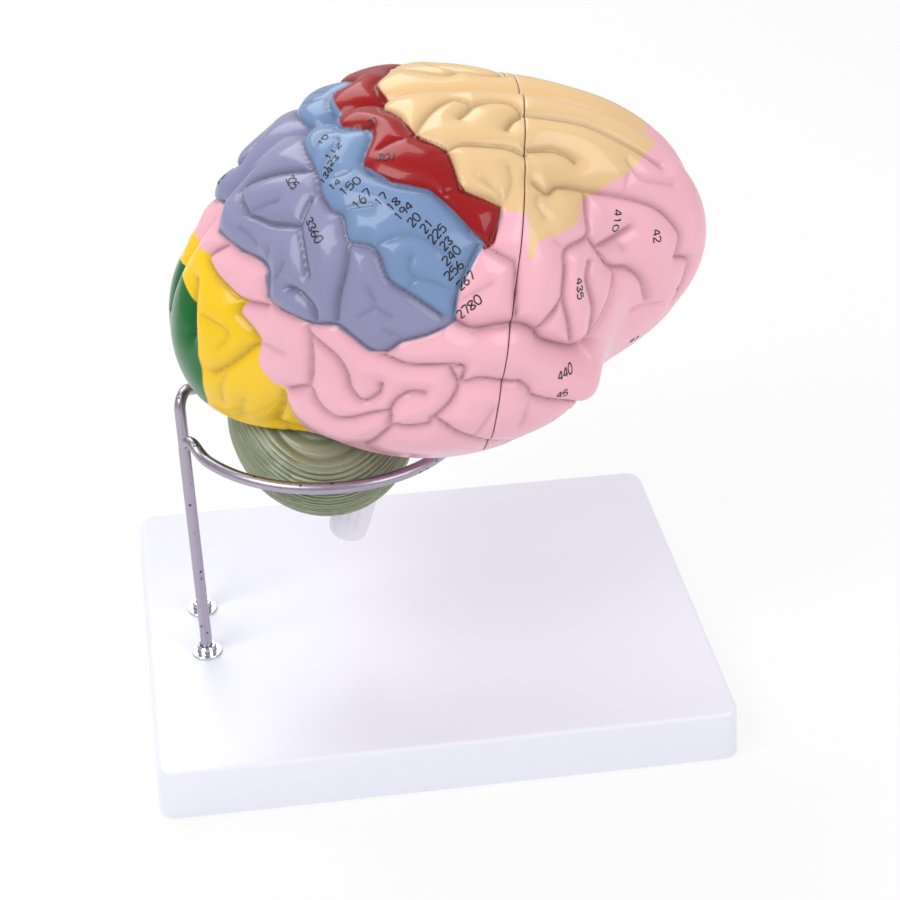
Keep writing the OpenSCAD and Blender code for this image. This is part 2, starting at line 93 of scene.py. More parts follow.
class Finish:
    """A material with one glossy shader, and the nodes that feed it."""

    def __init__(self, name, **plain):
        self.material = bpy.data.materials.new(name)
        self.material.use_nodes = True
        self.tree = self.material.node_tree
        self.shader = self.tree.nodes["Principled BSDF"]
        for socket, value in plain.items():
            self.shader.inputs[socket.replace("_", " ")].default_value = value

    def node(self, kind, settings, sockets, out=0):
        node = self.tree.nodes.new(kind)
        for key, value in settings.items():
            if key == "stops":
                for stop, (place, colour) in zip(node.color_ramp.elements, value):
                    stop.position, stop.color = place, colour
            else:
                setattr(node, key, value)
        for key, value in sockets.items():
            if isinstance(value, Wire):
                self.tree.links.new(value.socket, node.inputs[key])
            else:
                node.inputs[key].default_value = value
        return Wire(self, node.outputs[out])

    def place(self):
        return self.node("ShaderNodeTexCoord", {}, {}, "Object")

    def noise(self, scale, detail=2.0, where=None):
        return self.node("ShaderNodeTexNoise", {}, {"Vector": where or self.place(),
                                                    "Scale": scale, "Detail": detail})

    def mix(self, factor, first, second):
        return self.node("ShaderNodeMix", {"data_type": "RGBA"}, {0: factor, 6: first, 7: second}, 2)

    def tint(self, colour, factor, low, high):
        """Darken or lighten a colour from low to high as the factor goes from 0 to 1."""
        shade = self.node("ShaderNodeMapRange", {"clamp": True},
                          {"Value": factor, "To Min": low, "To Max": high})
        colour = colour if isinstance(colour, Wire) else colour[:3]
        return self.node("ShaderNodeVectorMath", {"operation": "SCALE"},
                         {0: colour, "Scale": shade}, 0)

    def step(self, value, width):
        """0 below zero, 1 above, with a soft edge of that width."""
        return self.node("ShaderNodeMapRange", {"clamp": True},
                         {"Value": value, "From Min": -width, "From Max": width})

    def bump(self, height, strength, distance):
        return self.node("ShaderNodeBump", {}, {"Height": height, "Strength": strength,
                                                "Distance": distance}, 0)

    def feed(self, socket, value):
        self.tree.links.new(value.socket, self.shader.inputs[socket])


def paint(red, green, blue):
    """A paint colour, given as it looks on a screen from 0 to 255."""
    linear = [(c / 255) ** 2.2 for c in (red, green, blue)]
    return (*linear, 1.0)


def piece(name, form, finishes, smooth=True):
    mesh = bpy.data.meshes.new(name)
    form.to_mesh(mesh)
    form.free()
    if smooth:
        mesh.shade_smooth()
    for finish in finishes:
        mesh.materials.append(finish.material)
    made = bpy.data.objects.new(name, mesh)
    bpy.context.scene.collection.objects.link(made)
    return made


sweep_finish = Finish("studio_sweep", Roughness=0.9, Base_Color=(0.86, 0.86, 0.88, 1.0))
seen = sweep_finish.node("ShaderNodeLightPath", {}, {}, "Is Camera Ray")
glow = sweep_finish.node("ShaderNodeEmission", {}, {"Color": (1.0, 1.0, 1.0, 1.0), "Strength": 1.0})
mixed = sweep_finish.node("ShaderNodeMixShader", {},
                          {0: seen * 0.8, 1: Wire(sweep_finish, sweep_finish.shader.outputs[0]),
                           2: glow})
sweep_finish.tree.links.new(mixed.socket, sweep_finish.tree.nodes["Material Output"].inputs[0])
sweep_form = bmesh.new()
bmesh.ops.create_grid(sweep_form, x_segments=2, y_segments=2, size=4.0,
                      matrix=Matrix.Translation((0, 0, -0.0006)))
piece("studio_floor", sweep_form, [sweep_finish], smooth=False)

world = bpy.data.worlds.new("studio")
bpy.context.scene.world = world
world.use_nodes = True
sky = world.node_tree
path = sky.nodes.new("ShaderNodeLightPath")
level = sky.nodes.new("ShaderNodeMapRange")
level.inputs["To Min"].default_value = 0.5
level.inputs["To Max"].default_value = 1.0
sky.links.new(path.outputs["Is Camera Ray"], level.inputs["Value"])
sky.links.new(level.outputs[0], sky.nodes["Background"].inputs["Strength"])
sky.nodes["Background"].inputs["Color"].default_value = (1.0, 1.0, 1.0, 1.0)

LAMPS = (
    # where it hangs, width, power
    ((-0.75, -0.55, 1.05), 0.7, 7.4),
    ((0.85, -0.75, 0.85), 0.8, 5.6),
    ((-0.25, 0.75, 1.05), 0.9, 7.0),
)
for count, (spot, width, power) in enumerate(LAMPS):
    lamp_data = bpy.data.lights.new(f"softbox_{count}", "AREA")
    lamp_data.shape = "SQUARE"
    lamp_data.size = width
    lamp_data.energy = power
    lamp = bpy.data.objects.new(f"softbox_{count}", lamp_data)
    bpy.context.scene.collection.objects.link(lamp)
    aim = Vector((0.0, 0.0, 0.12)) - Vector(spot)
    lamp.matrix_world = Matrix.Translation(spot) @ aim.to_track_quat("-Z", "Y").to_matrix().to_4x4()


# Base tray: one moulding in glossy white plastic, with rounded corners, a soft top edge and
# a hollow underside with ribs. A small round moulding mark sits in the middle of its top.
BASE = (200.0, 160.0, 18.5)
base_finish = Finish("gloss_white_moulding", Roughness=0.3, Coat_Weight=0.12, Coat_Roughness=0.2)
clouds = base_finish.noise(9.0)
base_finish.feed("Base Color", base_finish.tint(paint(236, 236, 248), clouds, 0.985, 1.01))
scuffs = base_finish.noise(140.0, 4.0)
base_finish.feed("Roughness", scuffs * 0.08 + 0.28)
base_finish.feed("Normal", base_finish.bump(base_finish.noise(30.0), 0.06, 0.0004))

base_form = bmesh.new()
bmesh.ops.create_cube(base_form, size=1.0, matrix=Matrix.Translation((0, 0, BASE[2] / 2 * MM))
                      @ Matrix.Diagonal((BASE[0] * MM, BASE[1] * MM, BASE[2] * MM, 1.0)))
for vert in base_form.verts:
    if vert.co.z > 0.01:
        vert.co.x -= math.copysign(0.8 * MM, vert.co.x)
        vert.co.y -= math.copysign(0.8 * MM, vert.co.y)
uprights = [e for e in base_form.edges if abs(e.verts[0].co.z - e.verts[1].co.z) > 0.01]
bmesh.ops.bevel(base_form, geom=uprights, offset=6.0 * MM, segments=10, profile=0.5,
                affect="EDGES", material=-1)
rim = [e for e in base_form.edges
       if all(v.co.z > 0.01 for v in e.verts) and len(e.link_faces) == 2
       and any(abs(f.normal.z) > 0.9 for f in e.link_faces)
       and any(abs(f.normal.z) < 0.5 for f in e.link_faces)]
bmesh.ops.bevel(base_form, geom=rim, offset=1.5 * MM, segments=5, profile=0.5,
                affect="EDGES", material=-1)
under = [f for f in base_form.faces if f.normal.z < -0.9 and f.calc_center_median().z < 0.001]
bmesh.ops.inset_region(base_form, faces=under, thickness=3.0 * MM, use_even_offset=True)
pushed = bmesh.ops.extrude_face_region(base_form, geom=under)
moved = [v for v in pushed["geom"] if isinstance(v, bmesh.types.BMVert)]
bmesh.ops.translate(base_form, verts=moved, vec=(0, 0, (BASE[2] - 2.5) * MM))
bmesh.ops.delete(base_form, geom=[f for f in under if f.is_valid], context="FACES")
for spot, span in (((0, 0), (193.6, 1.6)), ((-32.5, 0), (1.6, 153.6)), ((32.5, 0), (1.6, 153.6))):
    bmesh.ops.create_cube(base_form, size=1.0,
                          matrix=Matrix.Translation((spot[0] * MM, spot[1] * MM, 8.0 * MM))
                          @ Matrix.Diagonal((span[0] * MM, span[1] * MM, 16.0 * MM, 1.0)))
base_tray = piece("base_moulding", base_form, [base_finish])
base_tray.data.set_sharp_from_angle(angle=math.radians(40))
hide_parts("base")
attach(base_tray, "stand")

# Moulding mark: a shallow round gate mark left by the mould, with a fine raised lip.
mark_form = bmesh.new()
lip = [Vector((r * MM, 0, (BASE[2] + h) * MM))
       for r, h in ((3.7, 0.0), (3.85, 0.12), (4.2, 0.14), (4.4, 0.0))]
spun = [mark_form.verts.new(co) for co in lip]
edges = [mark_form.edges.new(pair) for pair in zip(spun, spun[1:])]
bmesh.ops.spin(mark_form, geom=spun + edges, cent=(0, 0, 0), axis=(0, 0, 1),
               angle=2 * math.pi, steps=48, use_merge=True)
bmesh.ops.recalc_face_normals(mark_form, faces=mark_form.faces)
mark = piece("moulding_mark", mark_form, [base_finish])
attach(mark, "stand")


# Support rod: one length of drawn stainless rod, straight in the feet and posts, bent tightly
# over at the top, and rolled into the loop that carries the brain. Fine pits mark its surface.
ROD_R = 2.0
rod_finish = Finish("drawn_stainless", Metallic=1.0, Roughness=0.34)
streaks = rod_finish.noise(900.0, 3.0)
pits = rod_finish.node("ShaderNodeTexVoronoi", {}, {"Vector": rod_finish.place(), "Scale": 260.0})
pit_mask = rod_finish.node("ShaderNodeMapRange", {"clamp": True},
                           {"Value": pits, "From Min": 0.10, "From Max": 0.16})
rod_colour = rod_finish.tint(paint(176, 168, 182), streaks, 0.88, 1.08)
rod_finish.feed("Base Color", rod_finish.mix(pit_mask, paint(92, 84, 96), rod_colour))
rod_finish.feed("Roughness", streaks * 0.16 + 0.24)
rod_finish.feed("Normal", rod_finish.bump(pit_mask, 0.35, 0.0003))

POST_Y, LOOP_X, LOOP_R, LOOP_Z = 13.4, -32.0, 49.0, 105.5
BEND_R, DIP_R, DIP, KNEE_R = 5.0, 12.0, math.radians(34), 30.0
POST_LEAN, FOOT_TOP, ROD_END = math.radians(1.6), 27.5, 5.8


def bend_step(start_way, end_way, radius):
    """Middle and end of a bend that turns from one way to another, from its start."""
    cosine = start_way.dot(end_way)
    inward = (end_way - start_way * cosine).normalized()
    return radius * inward, radius * (inward * (1 - cosine)
                                      + start_way * math.sin(math.acos(cosine)))


above = Vector((0, 0, 1))
post_way = Vector((-math.sin(POST_LEAN), 0, math.cos(POST_LEAN)))
hump_run = BEND_R + (BEND_R + DIP_R) * math.sin(DIP)
loop_turn = math.asin((POST_Y + hump_run * 0.85) / LOOP_R)
loop_way = Vector((math.sin(loop_turn), -math.cos(loop_turn), 0))
dip_way = math.cos(DIP) * loop_way - math.sin(DIP) * above
loop_start = Vector((LOOP_X - LOOP_R * math.cos(loop_turn), -LOOP_R * math.sin(loop_turn), LOOP_Z))
dip_start = loop_start - bend_step(dip_way, loop_way, DIP_R)[1]
bend_start = dip_start - bend_step(post_way, dip_way, BEND_R)[1]
knee_end = bend_start - post_way * ((bend_start.z - FOOT_TOP) / post_way.z)
knee = knee_end - bend_step(above, post_way, KNEE_R)[1]

rod_form = bmesh.new()
bmesh.ops.create_circle(rod_form, cap_ends=True, segments=28, radius=ROD_R * MM,
                        matrix=Matrix.Translation(Vector((knee.x, knee.y, ROD_END)) * MM))
tip = list(rod_form.edges)


def run_straight(form, ring, step):
    grown = bmesh.ops.extrude_edge_only(form, edges=ring)["geom"]
    bmesh.ops.translate(form, verts=[g for g in grown if isinstance(g, bmesh.types.BMVert)],
                        vec=step * MM)
    return [g for g in grown if isinstance(g, bmesh.types.BMEdge)]


def run_bend(form, ring, middle, axis, angle, steps):
    verts = list({v for edge in ring for v in edge.verts})
    grown = bmesh.ops.spin(form, geom=verts + ring, cent=middle * MM, axis=axis, angle=angle,
                           steps=steps)["geom_last"]
    return [g for g in grown if isinstance(g, bmesh.types.BMEdge)]


def bend_between(form, ring, start, start_way, end_way, radius, steps):
    middle = start + bend_step(start_way, end_way, radius)[0]
    return run_bend(form, ring, middle, start_way.cross(end_way).normalized(),
                    start_way.angle(end_way), steps)


def flip(way):
    """The same way on the far side, where the rod runs back down."""
    return Vector((-way.x, way.y, -way.z))


def across(point):
    return Vector((point.x, -point.y, point.z))


tip = run_straight(rod_form, tip, Vector((0, 0, knee.z - ROD_END)))
tip = bend_between(rod_form, tip, knee, above, post_way, KNEE_R, 2)
tip = run_straight(rod_form, tip, bend_start - knee_end)
tip = bend_between(rod_form, tip, bend_start, post_way, dip_way, BEND_R, 20)
tip = bend_between(rod_form, tip, dip_start, dip_way, loop_way, DIP_R, 8)
tip = run_bend(rod_form, tip, Vector((LOOP_X, 0, LOOP_Z)), above,
               2 * math.pi - 2 * loop_turn, 128)
tip = bend_between(rod_form, tip, across(loop_start), flip(loop_way), flip(dip_way), DIP_R, 8)
tip = bend_between(rod_form, tip, across(dip_start), flip(dip_way), flip(post_way), BEND_R, 20)
tip = run_straight(rod_form, tip, across(knee_end) - across(bend_start))
tip = bend_between(rod_form, tip, across(knee_end), flip(post_way), -above, KNEE_R, 2)
tip = run_straight(rod_form, tip, Vector((0, 0, ROD_END - knee.z)))
bmesh.ops.edgeloop_fill(rod_form, edges=tip)
bmesh.ops.remove_doubles(rod_form, verts=rod_form.verts, dist=0.00001)
bmesh.ops.recalc_face_normals(rod_form, faces=rod_form.faces)
rod = piece("bent_rod", rod_form, [rod_finish])
rod.data.set_sharp_from_angle(angle=math.radians(50))
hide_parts("support_rod")
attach(rod, "stand")


# Collars: turned and chromed, one round each foot of the rod, with a flange flat on the tray
# and a short hub. Their edges are broken with small chamfers.
chrome = Finish("bright_chrome", Metallic=1.0, Roughness=0.07)
smears = chrome.noise(220.0, 3.0)
chrome.feed("Base Color", chrome.tint(paint(214, 214, 220), smears, 0.92, 1.03))
chrome.feed("Roughness", smears * 0.1 + 0.04)
COLLAR = ((2.1, 0.0), (5.1, 0.0), (5.25, 0.15), (5.25, 0.85), (5.1, 1.0), (3.6, 1.0), (3.4, 1.2),
          (3.4, 2.9), (2.9, 3.4), (2.3, 3.4), (2.1, 3.2))
for side, node in ((1, "right_collar"), (-1, "left_collar")):
    collar_form = bmesh.new()
    seat = Vector((knee.x, side * knee.y, BASE[2])) * MM
    ring = [collar_form.verts.new(seat + Vector((r * MM, 0, h * MM))) for r, h in COLLAR]
    edges = [collar_form.edges.new(pair) for pair in zip(ring, ring[1:] + ring[:1])]
    bmesh.ops.spin(collar_form, geom=ring + edges, cent=seat, axis=(0, 0, 1),
                   angle=2 * math.pi, steps=64, use_merge=True)
    bmesh.ops.recalc_face_normals(collar_form, faces=collar_form.faces)
    collar = piece(f"turned_{node}", collar_form, [chrome])
    collar.data.set_sharp_from_angle(angle=math.radians(30))
    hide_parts(node)
    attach(collar, "stand")


# Washers and nuts: plain zinc-plated steel, under the tray, where they clamp the rod's feet.
zinc = Finish("zinc_plate", Metallic=1.0, Roughness=0.4)
crystals = zinc.noise(500.0, 4.0)
zinc.feed("Base Color", zinc.tint(paint(170, 172, 176), crystals, 0.85, 1.1))
zinc.feed("Roughness", crystals * 0.25 + 0.28)
for node in ("post_washers", "post_nuts"):
    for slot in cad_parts[node].material_slots:
        slot.material = zinc.material


# Halves of the cerebrum: rigid vinyl castings with rounded folds and narrow grooves, each cut
# into a rear and a front section. Every area is painted by hand in its own colour, up to the
# grooves, and the whole is glossy.
CUT_MID = np.array((28.0, 0.0, 165.0))
CUT_LEAN, CUT_SWEEP = 0.15, 0.11
LOBES = (((3, 18, 161), (63, 50, 60)), ((14, 9, 168), (83, 29, 54)),
         ((-43, 4, 144), (39, 35, 40)), ((2, 44, 138), (47, 22, 20)))
ROOF_DROP, ROOF_FALL, ROOF_BACK, HIP_X = 23.0, 0.62, 0.13, -20.0
PART_GAP = 0.2


def heading(turn, rise):
    """The way from the middle of the cut to a place on the skin."""
    turn, rise = np.radians(turn), np.radians(rise)
    side, high = np.sin(turn) * np.cos(rise), np.sin(turn) * np.sin(rise)
    return np.stack((np.cos(turn) + CUT_LEAN * high - CUT_SWEEP * side, side, high), -1)


def reach(way):
    near, far = np.full(way.shape[:-1], 8.0), np.full(way.shape[:-1], 150.0)
    for _ in range(18):
        middle = (near + far) / 2
        at = CUT_MID + middle[..., None] * way
        pull = sum(np.exp(-14 * (np.linalg.norm((at - centre) / half, axis=-1) - 1))
                   for centre, half in np.array(LOBES, float))
        near, far = np.where(pull > 1, middle, near), np.where(pull > 1, far, middle)
    fall = np.minimum(way[..., 2] + ROOF_FALL * way[..., 1], -0.001)
    back_fall = np.minimum(way[..., 2] + ROOF_FALL * way[..., 1] - ROOF_BACK * way[..., 0], -0.001)
    back_drop = ROOF_DROP - ROOF_BACK * (CUT_MID[0] - HIP_X)
    roof = np.maximum(ROOF_DROP / -fall, back_drop / -back_fall)
    t = np.clip(0.5 + (roof - near) / 6, 0, 1)
    return roof * (1 - t) + near * t - 3 * t * (1 - t)


def skin(turn, rise):
    way = heading(turn, rise)
    return CUT_MID + reach(way)[..., None] * way


def globe_place(at):
    """The place on the skin, in degrees, that a point lies under."""
    off = at - CUT_MID
    side, high = np.abs(off[:, 1]), off[:, 2]
    along = off[:, 0] - CUT_LEAN * high + CUT_SWEEP * side
    return (np.degrees(np.arctan2(np.hypot(side, high), along)),
            np.degrees(np.arctan2(high, side)))


# Grooves as places on the skin, in degrees: from the front pole at 0 over the cut at 90 to the
# rear pole at 180, and from the midline above at 90 over the side at 0 to the midline below.
DEEP_GROOVES = (
    ((141, 88), (138, 76), (131, 69), (132, 55), (125, 47), (116, 43), (112, 39), (105, 31), (100, 27)),
    ((130, 88), (129, 80), (125, 73), (121, 63), (113, 56), (109, 45), (107, 42), (97, 37), (99, 27)),
    ((146, 88), (146, 76), (144, 64), (142, 55), (141, 49), (138, 42), (135, 39), (133, 31),
     (127, 28), (123, 19), (118, 15), (109, 8)),
    ((102, 27), (106, 15), (106, 6)),
    ((143, 48), (144, 45), (145, 39), (144, 32), (142, 21)),
    ((159, 54), (154, 45), (147, 40), (145, 39)),
    ((133, 31), (133, 23), (134, 15), (134, 7)),
    ((147, 16), (144, 15), (140, 10), (139, 6)),
    ((167, 80), (167, 57), (162, 35), (154, 24), (153, 10), (149, 6), (140, 4), (134, 5),
     (130, 2), (125, -2), (121, -2), (118, 1), (112, 3), (106, 6)),
    ((159, 55), (160, 68), (159, 74), (153, 69), (144, 61)),
    ((165, 42), (170, 38), (168, 20), (164, 9), (160, 4), (153, 6)),
    ((160, 4), (160, -4), (154, -13), (155, -20), (157, -35), (158, -42)),
    ((144, -32), (143, -47), (142, -52), (137, -56)),
    ((141, 4), (140, 0), (133, -6), (130, -11), (128, -16), (124, -19), (121, -16), (121, -13)),
    ((140, -1), (139, -9), (138, -21)),
    ((143, -28), (138, -21), (134, -24), (128, -26), (121, -22), (117, -21), (116, -25)),
    ((116, -25), (117, -19), (114, -15), (110, -15)),
    ((122, -42), (116, -26), (112, -25), (107, -24), (106, -22), (99, -28), (94, -32), (88, -39)),
    ((123, -3), (120, -4), (115, -6), (102, -7), (101, -12), (96, -12), (88, -15), (85, -16),
     (82, -19), (81, -21), (69, -30), (61, -41)),
    ((105, -7), (102, -13), (103, -18), (106, -22)),
    ((100, 26), (93, 22), (91, 20), (90, 12), (89, 4)),
    ((121, 63), (119, 70), (116, 76), (112, 80), (108, 78), (107, 75), (110, 70)),
    ((107, 75), (105, 77), (100, 79), (94, 78), (91, 73), (94, 70), (96, 66)),
    ((113, 55), (110, 58), (103, 58), (96, 58), (90, 56)),
    ((90, 73), (84, 73), (71, 73), (64, 72), (47, 67), (36, 63)),
    ((89, 58), (80, 60), (74, 59), (70, 57)),
    ((87, 45), (82, 42), (78, 45), (71, 46), (65, 46), (48, 45), (34, 41), (26, 32), (22, 21), (22, 5)),
    ((64, 44), (64, 36), (64, 27), (74, 23), (74, 16), (74, 8), (71, -1), (69, -9)),
    ((74, 8), (77, 4), (83, -1)),
    ((64, 27), (59, 22), (52, 14), (46, 10), (38, 6), (32, -5), (30, -22)),
    ((59, 22), (48, 25), (41, 30)),
    ((46, 10), (49, -2), (59, -11), (66, -12)),
    ((63, 17), (64, 11), (60, -1), (61, -12)),
    ((22, 5), (17, -5), (19, -31), (22, -45)),
    ((172, 10), (170, -12), (166, -34)),
)
SOFT_CREASES = (
    ((121, 62), (125, 61), (128, 59)), ((112, 39), (111, 42), (108, 42)),
    ((135, 39), (133, 41), (128, 41)), ((127, 28), (124, 30), (120, 31), (116, 30), (110, 25)),
    ((144, 62), (143, 69), (141, 75), (138, 75)), ((140, 50), (141, 59), (138, 67), (138, 70)),
    ((132, 54), (137, 53)), ((118, 15), (118, 17), (115, 19), (108, 16)),
    ((118, 25), (118, 21), (115, 19)), ((158, 55), (151, 53)), ((161, 49), (157, 37)),
    ((148, 26), (150, 20)), ((154, 24), (153, 32)), ((127, 17), (125, 12), (128, 9)),
    ((125, 12), (121, 9)), ((122, 5), (118, 3)), ((154, -13), (146, -12)),
    ((166, -14), (160, -15), (160, -25)), ((156, -37), (155, -45), (153, -52)),
    ((150, -45), (148, -57)), ((91, -21), (95, -30)), ((81, -21), (82, -24), (83, -29)),
    ((87, -40), (77, -53), (69, -52)), ((68, -32), (65, -51)), ((106, 12), (97, 16)),
    ((103, 46), (98, 41), (96, 39), (94, 44), (95, 50)), ((82, 42), (85, 41), (86, 38), (83, 34)),
    ((48, 45), (48, 54)), ((74, 23), (79, 26)), ((48, 25), (42, 18)),
    ((27, -31), (32, -25), (36, -24)), ((50, 60), (42, 53), (31, 54)),
)
LATERAL_FISSURE = (((62, -16), (64, -16), (73, -10), (80, -5), (83, -1), (88, 2), (94, 3), (101, 3), (106, 6)),)
GROOVES = [(line, 2.1, 0.9, 1.5) for line in DEEP_GROOVES]
GROOVES += [(line, 0.9, 0.9, 0.7) for line in SOFT_CREASES]
GROOVES += [(line, 2.6, 1.3, 3.4) for line in LATERAL_FISSURE]


def smooth_line(line, steps=5):
    """A soft curve through the places of a groove."""
    p = np.array((line[0], *line, line[-1]), float)
    t = (np.arange(steps) / steps)[:, None]
    parts = [0.5 * (2 * b + (c - a) * t + (2 * a - 5 * b + 4 * c - d) * t ** 2
                    + (3 * b - a - 3 * c + d) * t ** 3)
             for a, b, c, d in zip(p, p[1:], p[2:], p[3:])]
    return np.vstack((*parts, p[-1:]))


GROOVE_PATHS = []
for groove_line, *groove_form in GROOVES:
    bent = smooth_line(groove_line)
    GROOVE_PATHS.append((skin(bent[:, 0], bent[:, 1]), *groove_form))


# The tip of the temporal lobe stands out a little, and a notch parts it from the frontal lobe.
SWELLS = ((skin(60, -34), 3.4, 9.0), (skin(61, -20), -2.2, 5.0))


def sink(at):
    """How far each point of the skin sinks into the grooves near it."""
    deepest, line_depth = np.zeros(len(at)), np.zeros(len(at))
    for line, sharp, run, soft in GROOVE_PATHS:
        room = 12.0
        close = np.all((at > line.min(0) - room) & (at < line.max(0) + room), axis=1)
        if not close.any():
            continue
        here = at[close][:, None, :]
        start, step = line[:-1], np.diff(line, axis=0)
        t = np.clip(((here - start) * step).sum(-1) / np.maximum((step ** 2).sum(-1), 1e-9), 0, 1)
        away = np.linalg.norm(here - start - t[..., None] * step, axis=-1).min(1)
        crease = sharp * np.exp(-away / run)
        deepest[close] = np.maximum(deepest[close], crease + soft * np.exp(-(away / 5.0) ** 2))
        line_depth[close] = np.maximum(line_depth[close], crease)
    return deepest, line_depth


def folded_skin(turn, rise):
    way = heading(turn, rise)
    far = reach(way)
    at = CUT_MID + far[:, None] * way
    fall = np.minimum(way[:, 2] + ROOF_FALL * way[:, 1], -0.001)
    outside = np.clip((at[:, 2] - (CUT_MID[2] - ROOF_DROP + ROOF_BACK * np.minimum(0, at[:, 0] - HIP_X)
                                   - ROOF_FALL * at[:, 1])) / 3.0 - 0.2, 0, 1)
    depth = sink(at)[0] * outside + 2.4 * np.exp(-at[:, 1] / 1.5) * (at[:, 2] > CUT_MID[2] - 15)
    for centre, height, spread in SWELLS:
        depth = depth - height * np.exp(-(np.linalg.norm(at - centre, axis=1) / spread) ** 2)
    return at - way / np.linalg.norm(way, axis=1)[:, None] * depth[:, None]


PAINTED = {
    "cream": ((129, 92), (129, 80), (125, 73), (121, 63), (113, 56), (109, 45), (107, 42), (97, 37),
              (88, 35), (87, 22), (85, 27), (79, 28), (72, 31), (68, 35), (66, 42), (59, 46), (51, 53),
              (46, 60), (40, 75), (36, 92)),
    "red": ((140, 92), (138, 76), (131, 69), (132, 55), (125, 47), (116, 43), (112, 39), (105, 31),
            (100, 26), (98, 27), (97, 37), (107, 42), (109, 45), (113, 56), (121, 63), (125, 73),
            (129, 80), (129, 92)),
    "blue": ((140, 92), (138, 76), (131, 69), (132, 55), (125, 47), (116, 43), (112, 39), (105, 31),
             (101, 27), (106, 15), (106, 6), (109, 8), (118, 15), (123, 19), (127, 28), (133, 31),
             (135, 39), (138, 42), (141, 49), (142, 55), (144, 64), (146, 76), (147, 92)),
    "lavender": ((147, 92), (146, 76), (144, 64), (142, 55), (141, 49), (138, 42), (135, 39),
                 (133, 31), (127, 28), (123, 19), (118, 15), (109, 8), (106, 6), (112, 3), (118, 1),
                 (121, -2), (125, -2), (130, 2), (134, 5), (140, 4), (149, 6), (153, 10), (154, 24),
                 (162, 35), (167, 57), (167, 80), (166, 92)),
    "yellow": ((176, 92), (174, 60), (170, 38), (168, 20), (164, 9), (160, 4), (160, -4), (154, -13),
               (152, -23), (147, -29), (144, -29), (143, -34), (133, -62), (128, -92), (181, -92),
               (181, 92)),
    "green": ((181, 8), (179, 8), (166, -26), (155, -61), (150, -92), (181, -92)),
}
PAINTS = {"cream": paint(228, 192, 142), "red": paint(150, 0, 16), "blue": paint(116, 141, 180),
          "lavender": paint(137, 138, 172), "yellow": paint(244, 198, 30), "green": paint(14, 102, 46)}


def border_distance(turn, rise, corners):
    """Degrees inside a painted area, or outside it as a negative number."""
    start = np.array(corners, float)
    end = np.roll(start, -1, axis=0)
    here = np.stack((turn, rise), -1)[:, None, :]
    step = end - start
    t = np.clip(((here - start) * step).sum(-1) / (step ** 2).sum(-1), 0, 1)
    away = np.linalg.norm(here - start - t[..., None] * step, axis=-1).min(1)
    above_start, above_end = rise[:, None] < start[:, 1], rise[:, None] < end[:, 1]
    with np.errstate(divide="ignore", invalid="ignore"):
        crossing = start[:, 0] + (rise[:, None] - start[:, 1]) * step[:, 0] / step[:, 1]
    hits = ((above_start != above_end) & (turn[:, None] < crossing)).sum(1)
    return np.where(hits % 2 == 1, away, -away)


vinyl = Finish("painted_vinyl", Roughness=0.3, Coat_Weight=0.4, Coat_Roughness=0.05)
vinyl.shader.inputs["Specular IOR Level"].default_value = 0.25
coat = paint(240, 178, 192)
blotches = vinyl.noise(28.0, 3.0)
wobble = vinyl.noise(60.0, 3.0) * 1.4 - 0.2
colour = vinyl.tint(coat, blotches, 0.94, 1.05)
for area in PAINTED:
    inside = vinyl.node("ShaderNodeAttribute", {"attribute_name": area}, {}, "Fac")
    colour = vinyl.mix(vinyl.step(inside + wobble, 0.25), colour,
                       vinyl.tint(PAINTS[area], blotches, 0.94, 1.05))
# Painted shade: the colour darkens to 0.6 of itself at the bottom of each groove and stands at 1.02 away from
# them.
groove = vinyl.node("ShaderNodeAttribute", {"attribute_name": "groove"}, {}, "Fac")
colour = vinyl.tint(colour, groove, 1.02, 0.6)
vinyl.feed("Base Color", colour)
vinyl.feed("Roughness", vinyl.noise(90.0, 3.0) * 0.14 + 0.24)
vinyl.feed("Normal", vinyl.bump(vinyl.noise(55.0, 4.0), 0.12, 0.0006))

inner_paint = Finish("inner_face_paint", Roughness=0.45)
mottle = inner_paint.noise(40.0, 3.0)
inner_paint.feed("Base Color", inner_paint.tint(paint(238, 205, 196), mottle, 0.95, 1.04))
inner_paint.feed("Normal", inner_paint.bump(inner_paint.noise(160.0, 3.0), 0.15, 0.0004))

CUT_PEGS = ((24, 24), (30, -16))
MIDLINE_PEGS = ((-42, 4), (8, 34))
SECTION_ROWS = {True: 130, False: 160}
ACROSS = 260


def socket_rods(front, right_side):
    """Start and end of each peg hole in a section, on the left side of the model."""
    for side, high in CUT_PEGS:
        face = CUT_MID[0] + CUT_LEAN * high - CUT_SWEEP * side
        yield ((face - (1 if front else 10), side, CUT_MID[2] + high),
               (face + (9 if front else 1), side, CUT_MID[2] + high))
    if not front:
        for along, high in MIDLINE_PEGS:
            yield ((along, -1, CUT_MID[2] + high),
                   (along, 9 if right_side else 10, CUT_MID[2] + high))


